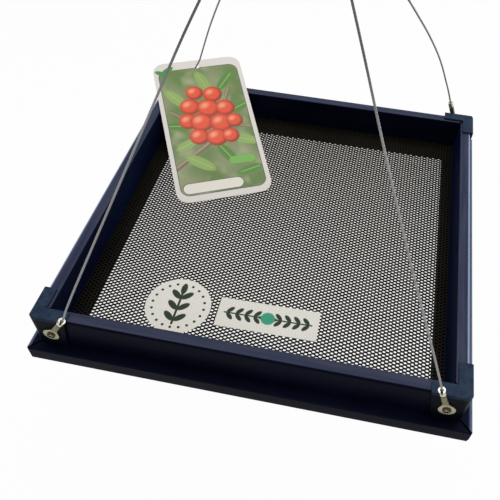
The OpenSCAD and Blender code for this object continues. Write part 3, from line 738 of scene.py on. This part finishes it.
# %% Shader group for a printed bar
bar_group, b_in, b_out = new_group("printed_bar", "ShaderNodeTree", [
    ("Point", "INPUT", "Vector", None),
    ("Centre", "INPUT", "Vector", (0, 0, 0)),
    ("Half Size", "INPUT", "Vector", (1, 1, 0)),
    ("Turn", "INPUT", "Vector", (0, 0, 0)),
    ("Corner", "INPUT", "Float", 1.0),
    ("Softness", "INPUT", "Float", 0.15),
    ("Mask", "OUTPUT", "Float", None),
])
local = add(bar_group, "ShaderNodeMapping", {
    "Vector": b_in["Point"], "Location": b_in["Centre"], "Rotation": b_in["Turn"]},
    vector_type="TEXTURE").outputs[0]
flat = vector_math(bar_group, "MULTIPLY", vector_math(bar_group, "ABSOLUTE", local), (1, 1, 0))
corner_at = vector_math(
    bar_group, "SUBTRACT", b_in["Half Size"],
    add(bar_group, "ShaderNodeCombineXYZ", {0: b_in["Corner"], 1: b_in["Corner"]}).outputs[0])
past = vector_math(bar_group, "MAXIMUM", vector_math(bar_group, "SUBTRACT", flat, corner_at),
                   (0, 0, 0))
past = vector_math(bar_group, "MULTIPLY", past, (1, 1, 0))
from_rim = math_node(bar_group, "SUBTRACT", vector_math(bar_group, "LENGTH", past, out=1),
                     b_in["Corner"])
bar_group.links.new(softened(bar_group, from_rim, b_in["Softness"]), b_out.inputs["Mask"])
print("printed_bar has", len(bar_group.nodes), "nodes")


# %% Placing printed shapes
def disc(tree, point, centre, radii, turn=0.0, softness=0.1):
    """The mask of a disc or an ellipse, turned by degrees."""
    return use(tree, disc_group, Point=point, Centre=(*centre, 0), Radii=(*radii, 1),
               Turn=(0, 0, math.radians(turn)), Softness=softness)["Mask"]


def bar(tree, point, centre, half, corner, turn=0.0, softness=0.2):
    """The mask of a bar with round corners, turned by degrees; half is its half size."""
    return use(tree, bar_group, Point=point, Centre=(*centre, 0), Half_Size=(*half, 0),
               Turn=(0, 0, math.radians(turn)), Corner=corner, Softness=softness)["Mask"]


def card_point(tree, origin, turn):
    """Object coordinates turned into millimetres on a card that lies at origin with that turn."""
    coords = add(tree, "ShaderNodeTexCoord").outputs["Object"]
    return add(tree, "ShaderNodeMapping", {
        "Vector": coords, "Location": origin, "Rotation": turn, "Scale": (MM, MM, MM)},
        vector_type="TEXTURE").outputs[0]


# %% [markdown]
# The tag. It is a tall white-bordered card with a printed picture in greens, browns and
# orange-red, a pale strip below and a small green patch. The picture here is a plain one of the
# same colours. Its background is out of focus, so it is made of broad noise, and twigs, leaves
# and berries are masks laid over it in order. All sizes on the card are in millimetres.

# %% The tag's print
TAG_H, TAG_T = 162.0, 0.5
TAG_RUN = TAG_H - 8.0
HOLE_Z, FOOT_Z = 54.8, 16.3
TAG_HOLE = Vector((-122.0, 153.5, HOLE_Z)) * MM
TAG_TURN = Euler((math.asin((HOLE_Z - FOOT_Z) / TAG_RUN), 0, math.radians(25.7)))
tag_foot = TAG_HOLE - TAG_TURN.to_matrix() @ Vector((0, TAG_RUN * MM, 0))

tag_print, tree, shader = surface("printed_card", sheen_level=0.2)
point = card_point(tree, tag_foot, TAG_TURN)
blur, glow = [add(tree, "ShaderNodeTexNoise", {"Vector": point, "Scale": scale, "Detail": 1.0})
              .outputs["Fac"] for scale in (0.022, 0.05)]
picture = blend(tree, ramp(tree, blur, 0.40, 0.60, 0.0, 1.0),
                (0.13, 0.21, 0.06), (0.27, 0.31, 0.16))
picture = blend(tree, ramp(tree, glow, 0.52, 0.72, 0.0, 0.7), picture, (0.42, 0.45, 0.26))

TWIGS = [((-10, 56), (38, 2.6), 34), ((16, 100), (26, 1.8), 66), ((-22, 92), (17, 1.5), 140),
         ((25, 76), (14, 1.4), -12)]
LEAVES = [((-26, 116), (15, 5.4), 128), ((-29, 84), (12, 4.8), 172), ((-16, 40), (15, 5.6), -38),
          ((10, 46), (14, 5.2), -62), ((29, 60), (13, 5.2), -22), ((30, 98), (13, 5.0), 24),
          ((2, 134), (14, 5.4), 108), ((24, 132), (14, 5.0), 50), ((-24, 62), (12, 4.6), 205),
          ((27, 26), (12, 4.6), 12)]
BERRIES = [((-8, 121), 8.2), ((9, 117), 9.2), ((-15, 105), 9.4), ((2, 101), 10.6), ((18, 99), 9.2),
           ((-19, 88), 8.8), ((-7, 85), 10.8), ((11, 82), 10.8), ((24, 83), 7.8), ((-12, 69), 9.0),
           ((4, 66), 9.8), ((17, 66), 8.0)]
for centre, size, turn in TWIGS:
    picture = blend(tree, bar(tree, point, centre, size, size[1], turn, 0.5), picture,
                    (0.20, 0.15, 0.085))
    across = Vector((-math.sin(math.radians(turn)), math.cos(math.radians(turn)))) * size[1] * 0.35
    lit_side = bar(tree, point, tuple(Vector(centre) + across), (size[0] * 0.96, size[1] * 0.4),
                   size[1] * 0.4, turn, 0.5)
    picture = blend(tree, lit_side, picture, (0.38, 0.31, 0.20))
for k, (centre, size, turn) in enumerate(LEAVES):
    tone = (0.10, 0.24, 0.04) if k % 2 else (0.28, 0.42, 0.12)
    picture = blend(tree, disc(tree, point, centre, size, turn, 0.12), picture, tone)
    picture = blend(tree, bar(tree, point, centre, (size[0] * 0.8, 0.3), 0.3, turn, 0.25),
                    picture, (0.44, 0.54, 0.26))
for centre, r in BERRIES:
    x, y = centre
    shade = disc(tree, point, centre, (r, r), 0, 0.08)
    body = disc(tree, point, (x - 0.9, y + 1.1), (r * 0.84, r * 0.84), 0, 0.22)
    shine = disc(tree, point, (x - r * 0.28, y + r * 0.34), (r * 0.34, r * 0.26), 30, 0.7)
    picture = blend(tree, shade, picture, (0.30, 0.030, 0.016))
    picture = blend(tree, body, picture, (0.80, 0.095, 0.035))
    picture = blend(tree, shine, picture, (0.94, 0.36, 0.22))
print("the picture has", len(TWIGS), "twigs,", len(LEAVES), "leaves and", len(BERRIES), "berries")

# %% The tag's border, strip and patches
LINE = 0.6


def outlined(tree, point, colour, centre, half, corner, line_colour, inner):
    """A bar in one colour or picture with a thin line round it, over another colour."""
    wider = bar(tree, point, centre, (half[0] + LINE, half[1] + LINE), corner + LINE)
    colour = blend(tree, wider, colour, line_colour)
    return blend(tree, bar(tree, point, centre, half, corner), colour, inner)


front = outlined(tree, point, (0.74, 0.70, 0.65), (0, 79.5), (38.3, 72.3), 7.9,
                 (0.06, 0.06, 0.09), picture)
front = outlined(tree, point, front, (-9, 14), (27, 5.2), 5.2,
                 (0.10, 0.08, 0.07), (0.80, 0.76, 0.68))
front = blend(tree, bar(tree, point, (22, 38), (12, 4.0), 4.0), front, (0.19, 0.46, 0.09))
for centre, size, turn in (((-29, 153), (6.5, 2.8), 30), ((-36, 150), (6.0, 2.6), 150)):
    front = blend(tree, disc(tree, point, centre, size, turn), front, (0.06, 0.27, 0.07))
height = add(tree, "ShaderNodeSeparateXYZ", {0: point}).outputs[2]
faces_up = math_node(tree, "GREATER_THAN", height, TAG_T * 0.6)
tree.links.new(blend(tree, faces_up, (0.74, 0.72, 0.68), front), shader.inputs["Base Color"])
pattern = use(tree, grain_group, Cloud_Size=20.0, Grain_Size=1800.0)
tree.links.new(ramp(tree, pattern["Clouds"], 0.3, 0.7, 0.34, 0.48), shader.inputs["Roughness"])
tree.links.new(bump(tree, pattern["Grain"], 0.2, 0.02 * MM), shader.inputs["Normal"])
dress(["hang_tag"], tag_print)
print("the tag's print uses", len(tree.nodes), "nodes")

# %% [markdown]
# The two labels are paper, stuck straight on the perforated sheet. Paper on a grid of holes sinks
# a little into each one, so the finish makes shallow dimples in the same lattice. The lattice is
# two square grids, one in the middle of the other's gaps, and the nearer middle counts.

# %% Shader group for dimples over holes
dimple_group, p_in, p_out = new_group("dimples_over_holes", "ShaderNodeTree", [
    ("Pitch", "INPUT", "Float", HOLE_PITCH),
    ("Dimple", "OUTPUT", "Float", None),
])
coords = add(dimple_group, "ShaderNodeTexCoord").outputs["Object"]
flat = vector_math(dimple_group, "MULTIPLY", coords, (1, 1, 0))
wide = math_node(dimple_group, "MULTIPLY", p_in["Pitch"], math.sqrt(3) / 2)
tall = math_node(dimple_group, "MULTIPLY", p_in["Pitch"], 0.5)
distances = []
for side in (0.0, 1.0):
    shift = add(dimple_group, "ShaderNodeCombineXYZ", {
        0: math_node(dimple_group, "MULTIPLY", wide, side),
        1: math_node(dimple_group, "MULTIPLY", tall, side - 0.5)}).outputs[0]
    corner = add(dimple_group, "ShaderNodeCombineXYZ", {0: wide, 1: tall, 2: 1.0}).outputs[0]
    wrapped = vector_math(dimple_group, "WRAP", vector_math(dimple_group, "ADD", flat, shift),
                          corner, vector_math(dimple_group, "MULTIPLY", corner, (-1, -1, -1)))
    distances.append(vector_math(dimple_group, "LENGTH",
                                 vector_math(dimple_group, "MULTIPLY", wrapped, (1, 1, 0)), out=1))
nearest = math_node(dimple_group, "MINIMUM", *distances)
dimple_group.links.new(falling(dimple_group, nearest, (0.4, 1.1)), p_out.inputs["Dimple"])
print("dimples_over_holes has", len(dimple_group.nodes), "nodes")


# %% Paper that shows the holes under it
def paper(name, origin, turn, draw):
    """Off-white paper with dimples, and a print that draw() lays over the white."""
    material, tree, shader = surface(name, sheen_level=0.15)
    point = card_point(tree, origin, (0, 0, turn))
    pattern = use(tree, grain_group, Cloud_Size=25.0, Grain_Size=2200.0)
    dimple = use(tree, dimple_group)["Dimple"]
    white = blend(tree, pattern["Clouds"], (0.76, 0.74, 0.67), (0.84, 0.82, 0.75))
    # Painted shade: the paper is painted a little darker in each dimple
    white = blend(tree, math_node(tree, "MULTIPLY", dimple, 0.25), white, (0.60, 0.58, 0.53))
    tree.links.new(draw(tree, point, white), shader.inputs["Base Color"])
    tree.links.new(ramp(tree, pattern["Grain"], 0.3, 0.7, 0.5, 0.65), shader.inputs["Roughness"])
    fibre = math_node(tree, "MULTIPLY", pattern["Grain"], 0.1)
    height = math_node(tree, "SUBTRACT", fibre, dimple)
    tree.links.new(bump(tree, height, 0.4, 0.08 * MM), shader.inputs["Normal"])
    return material


# %% [markdown]
# The labels' prints are dark green on the paper's white. A sprig, which is a stem with pairs of
# leaves, is drawn once as a function and serves both labels.

# %% The labels' prints
LABEL_GREEN = (0.020, 0.034, 0.018)
LABEL_TEAL = (0.045, 0.33, 0.20)


def sprig(tree, point, colour, centre, pairs, size, turn):
    """A stem with pairs of leaves and one at its tip, along the way it is turned."""
    way = Vector((math.cos(math.radians(turn)), math.sin(math.radians(turn))))
    across = Vector((-way.y, way.x))
    start, reach = Vector(centre) - way * size * pairs / 2, size * pairs
    middle = start + way * reach / 2
    thin = size * 0.09
    colour = blend(tree, bar(tree, point, tuple(middle), (reach / 2, thin), thin, turn),
                   colour, LABEL_GREEN)
    for k in range(pairs):
        foot = start + way * size * (k + 0.35)
        for side in (-1, 1):
            leaf = foot + way * size * 0.36 + across * side * size * 0.42
            colour = blend(tree, disc(tree, point, tuple(leaf), (size * 0.52, size * 0.24),
                                      turn + side * 48), colour, LABEL_GREEN)
    tip = start + way * (reach + size * 0.3)
    return blend(tree, disc(tree, point, tuple(tip), (size * 0.5, size * 0.24), turn), colour,
                 LABEL_GREEN)


def round_print(tree, point, white):
    """A ring of dots near the rim, and a sprig in the middle."""
    dots, ring_r, dot_r = 20, 20.0, 1.1
    colour = white
    for k in range(dots):
        a = math.tau * k / dots
        dot = disc(tree, point, (ring_r * math.cos(a), ring_r * math.sin(a)), (dot_r, dot_r))
        colour = blend(tree, dot, colour, LABEL_GREEN)
    return sprig(tree, point, colour, (0, -2.5), 3, 10.2, 90)


def oblong_print(tree, point, white):
    """Two sprigs that meet at a teal patch."""
    colour = sprig(tree, point, white, (-20, 0), 4, 7.0, 0)
    colour = sprig(tree, point, colour, (20, 0), 4, 7.0, 180)
    return blend(tree, disc(tree, point, (0, 0), (5.5, 5.5)), colour, LABEL_TEAL)


# %% The two labels
ROUND_AT = Vector((-63.0, -102.5, 16.2)) * MM
OBLONG_AT, OBLONG_TURN = Vector((6.2, -100.2, 16.2)) * MM, math.radians(1.2)
dress(["round_label"], paper("round_label_paper", ROUND_AT, 0.0, round_print))
dress(["oblong_label"], paper("oblong_label_paper", OBLONG_AT, OBLONG_TURN, oblong_print))
print("finishes:", [m.name for m in bpy.data.materials])

# %% [markdown]
# Light, floor and background. The photograph is cut out on white with soft light from above, so
# the tops of the rails are lighter than their sides. A broad lamp overhead and an even world do
# that, and a low lamp behind the right side puts a light on the outer edges. The white comes from
# Light Path: the camera, and reflections in metal, see white, while the light that falls on the
# feeder stays plain. The feeder hangs, so the floor lies well below.

# %% The world
WHITE = (1, 1, 1, 1)
WORLD_LIGHT = 0.3


def seen_directly(tree):
    """1 for what the camera, a reflection or glass sees, and 0 for the light that falls."""
    ray = add(tree, "ShaderNodeLightPath").outputs
    return math_node(tree, "MAXIMUM", ray["Is Camera Ray"],
                     math_node(tree, "MAXIMUM", ray["Is Glossy Ray"], ray["Is Transmission Ray"]))


world = bpy.data.worlds.new("studio")
bpy.context.scene.world = world
tree = emptied_tree(world)
plain = add(tree, "ShaderNodeBackground", {"Color": WHITE, "Strength": WORLD_LIGHT}).outputs[0]
white = add(tree, "ShaderNodeBackground", {"Color": WHITE, "Strength": 1.0}).outputs[0]
mixed = add(tree, "ShaderNodeMixShader", {0: seen_directly(tree), 1: plain, 2: white}).outputs[0]
add(tree, "ShaderNodeOutputWorld", {"Surface": mixed})
print("the world gives", WORLD_LIGHT, "of full white")

# %% The studio floor
FLOOR_Z, REACH = -0.30, 4.0
WHITE_SHARE = 0.97
floor_mesh = bpy.data.meshes.new("studio_floor")
floor_mesh.from_pydata([(x, y, FLOOR_Z) for x, y in ((-REACH, -REACH), (REACH, -REACH),
                                                     (REACH, REACH), (-REACH, REACH))],
                       [], [(0, 1, 2, 3)])
floor = object_of(floor_mesh, "studio_floor")
paint = bpy.data.materials.new("studio_floor_white")
tree = emptied_tree(paint)
diffuse = add(tree, "ShaderNodeBsdfDiffuse", {"Color": (0.85, 0.85, 0.85, 1)}).outputs[0]
glow = add(tree, "ShaderNodeEmission", {"Color": WHITE, "Strength": 1.0}).outputs[0]
share = math_node(tree, "MULTIPLY", seen_directly(tree), WHITE_SHARE)
add(tree, "ShaderNodeOutputMaterial",
    {"Surface": add(tree, "ShaderNodeMixShader", {0: share, 1: diffuse, 2: glow}).outputs[0]})
floor.data.materials.append(paint)
print("the floor lies", -FLOOR_Z, "m under the feeder")


# %% Two lamps
def softbox(name, at, size, watts):
    """A square lamp that faces the tray."""
    data = bpy.data.lights.new(name, "AREA")
    data.shape, data.size, data.energy = "SQUARE", size, watts
    lamp = bpy.data.objects.new(name, data)
    lamp.location = at
    lamp.rotation_euler = (-lamp.location).to_track_quat("-Z", "Y").to_euler()
    bpy.context.collection.objects.link(lamp)
    print(name, "gives", watts, "W")


softbox("overhead_softbox", at=(0.05, 0.25, 1.24), size=1.0, watts=11.5)
softbox("side_softbox", at=(1.2, 1.1, 0.12), size=0.6, watts=6.0)
bpy.context.scene.view_settings.view_transform = "Standard"
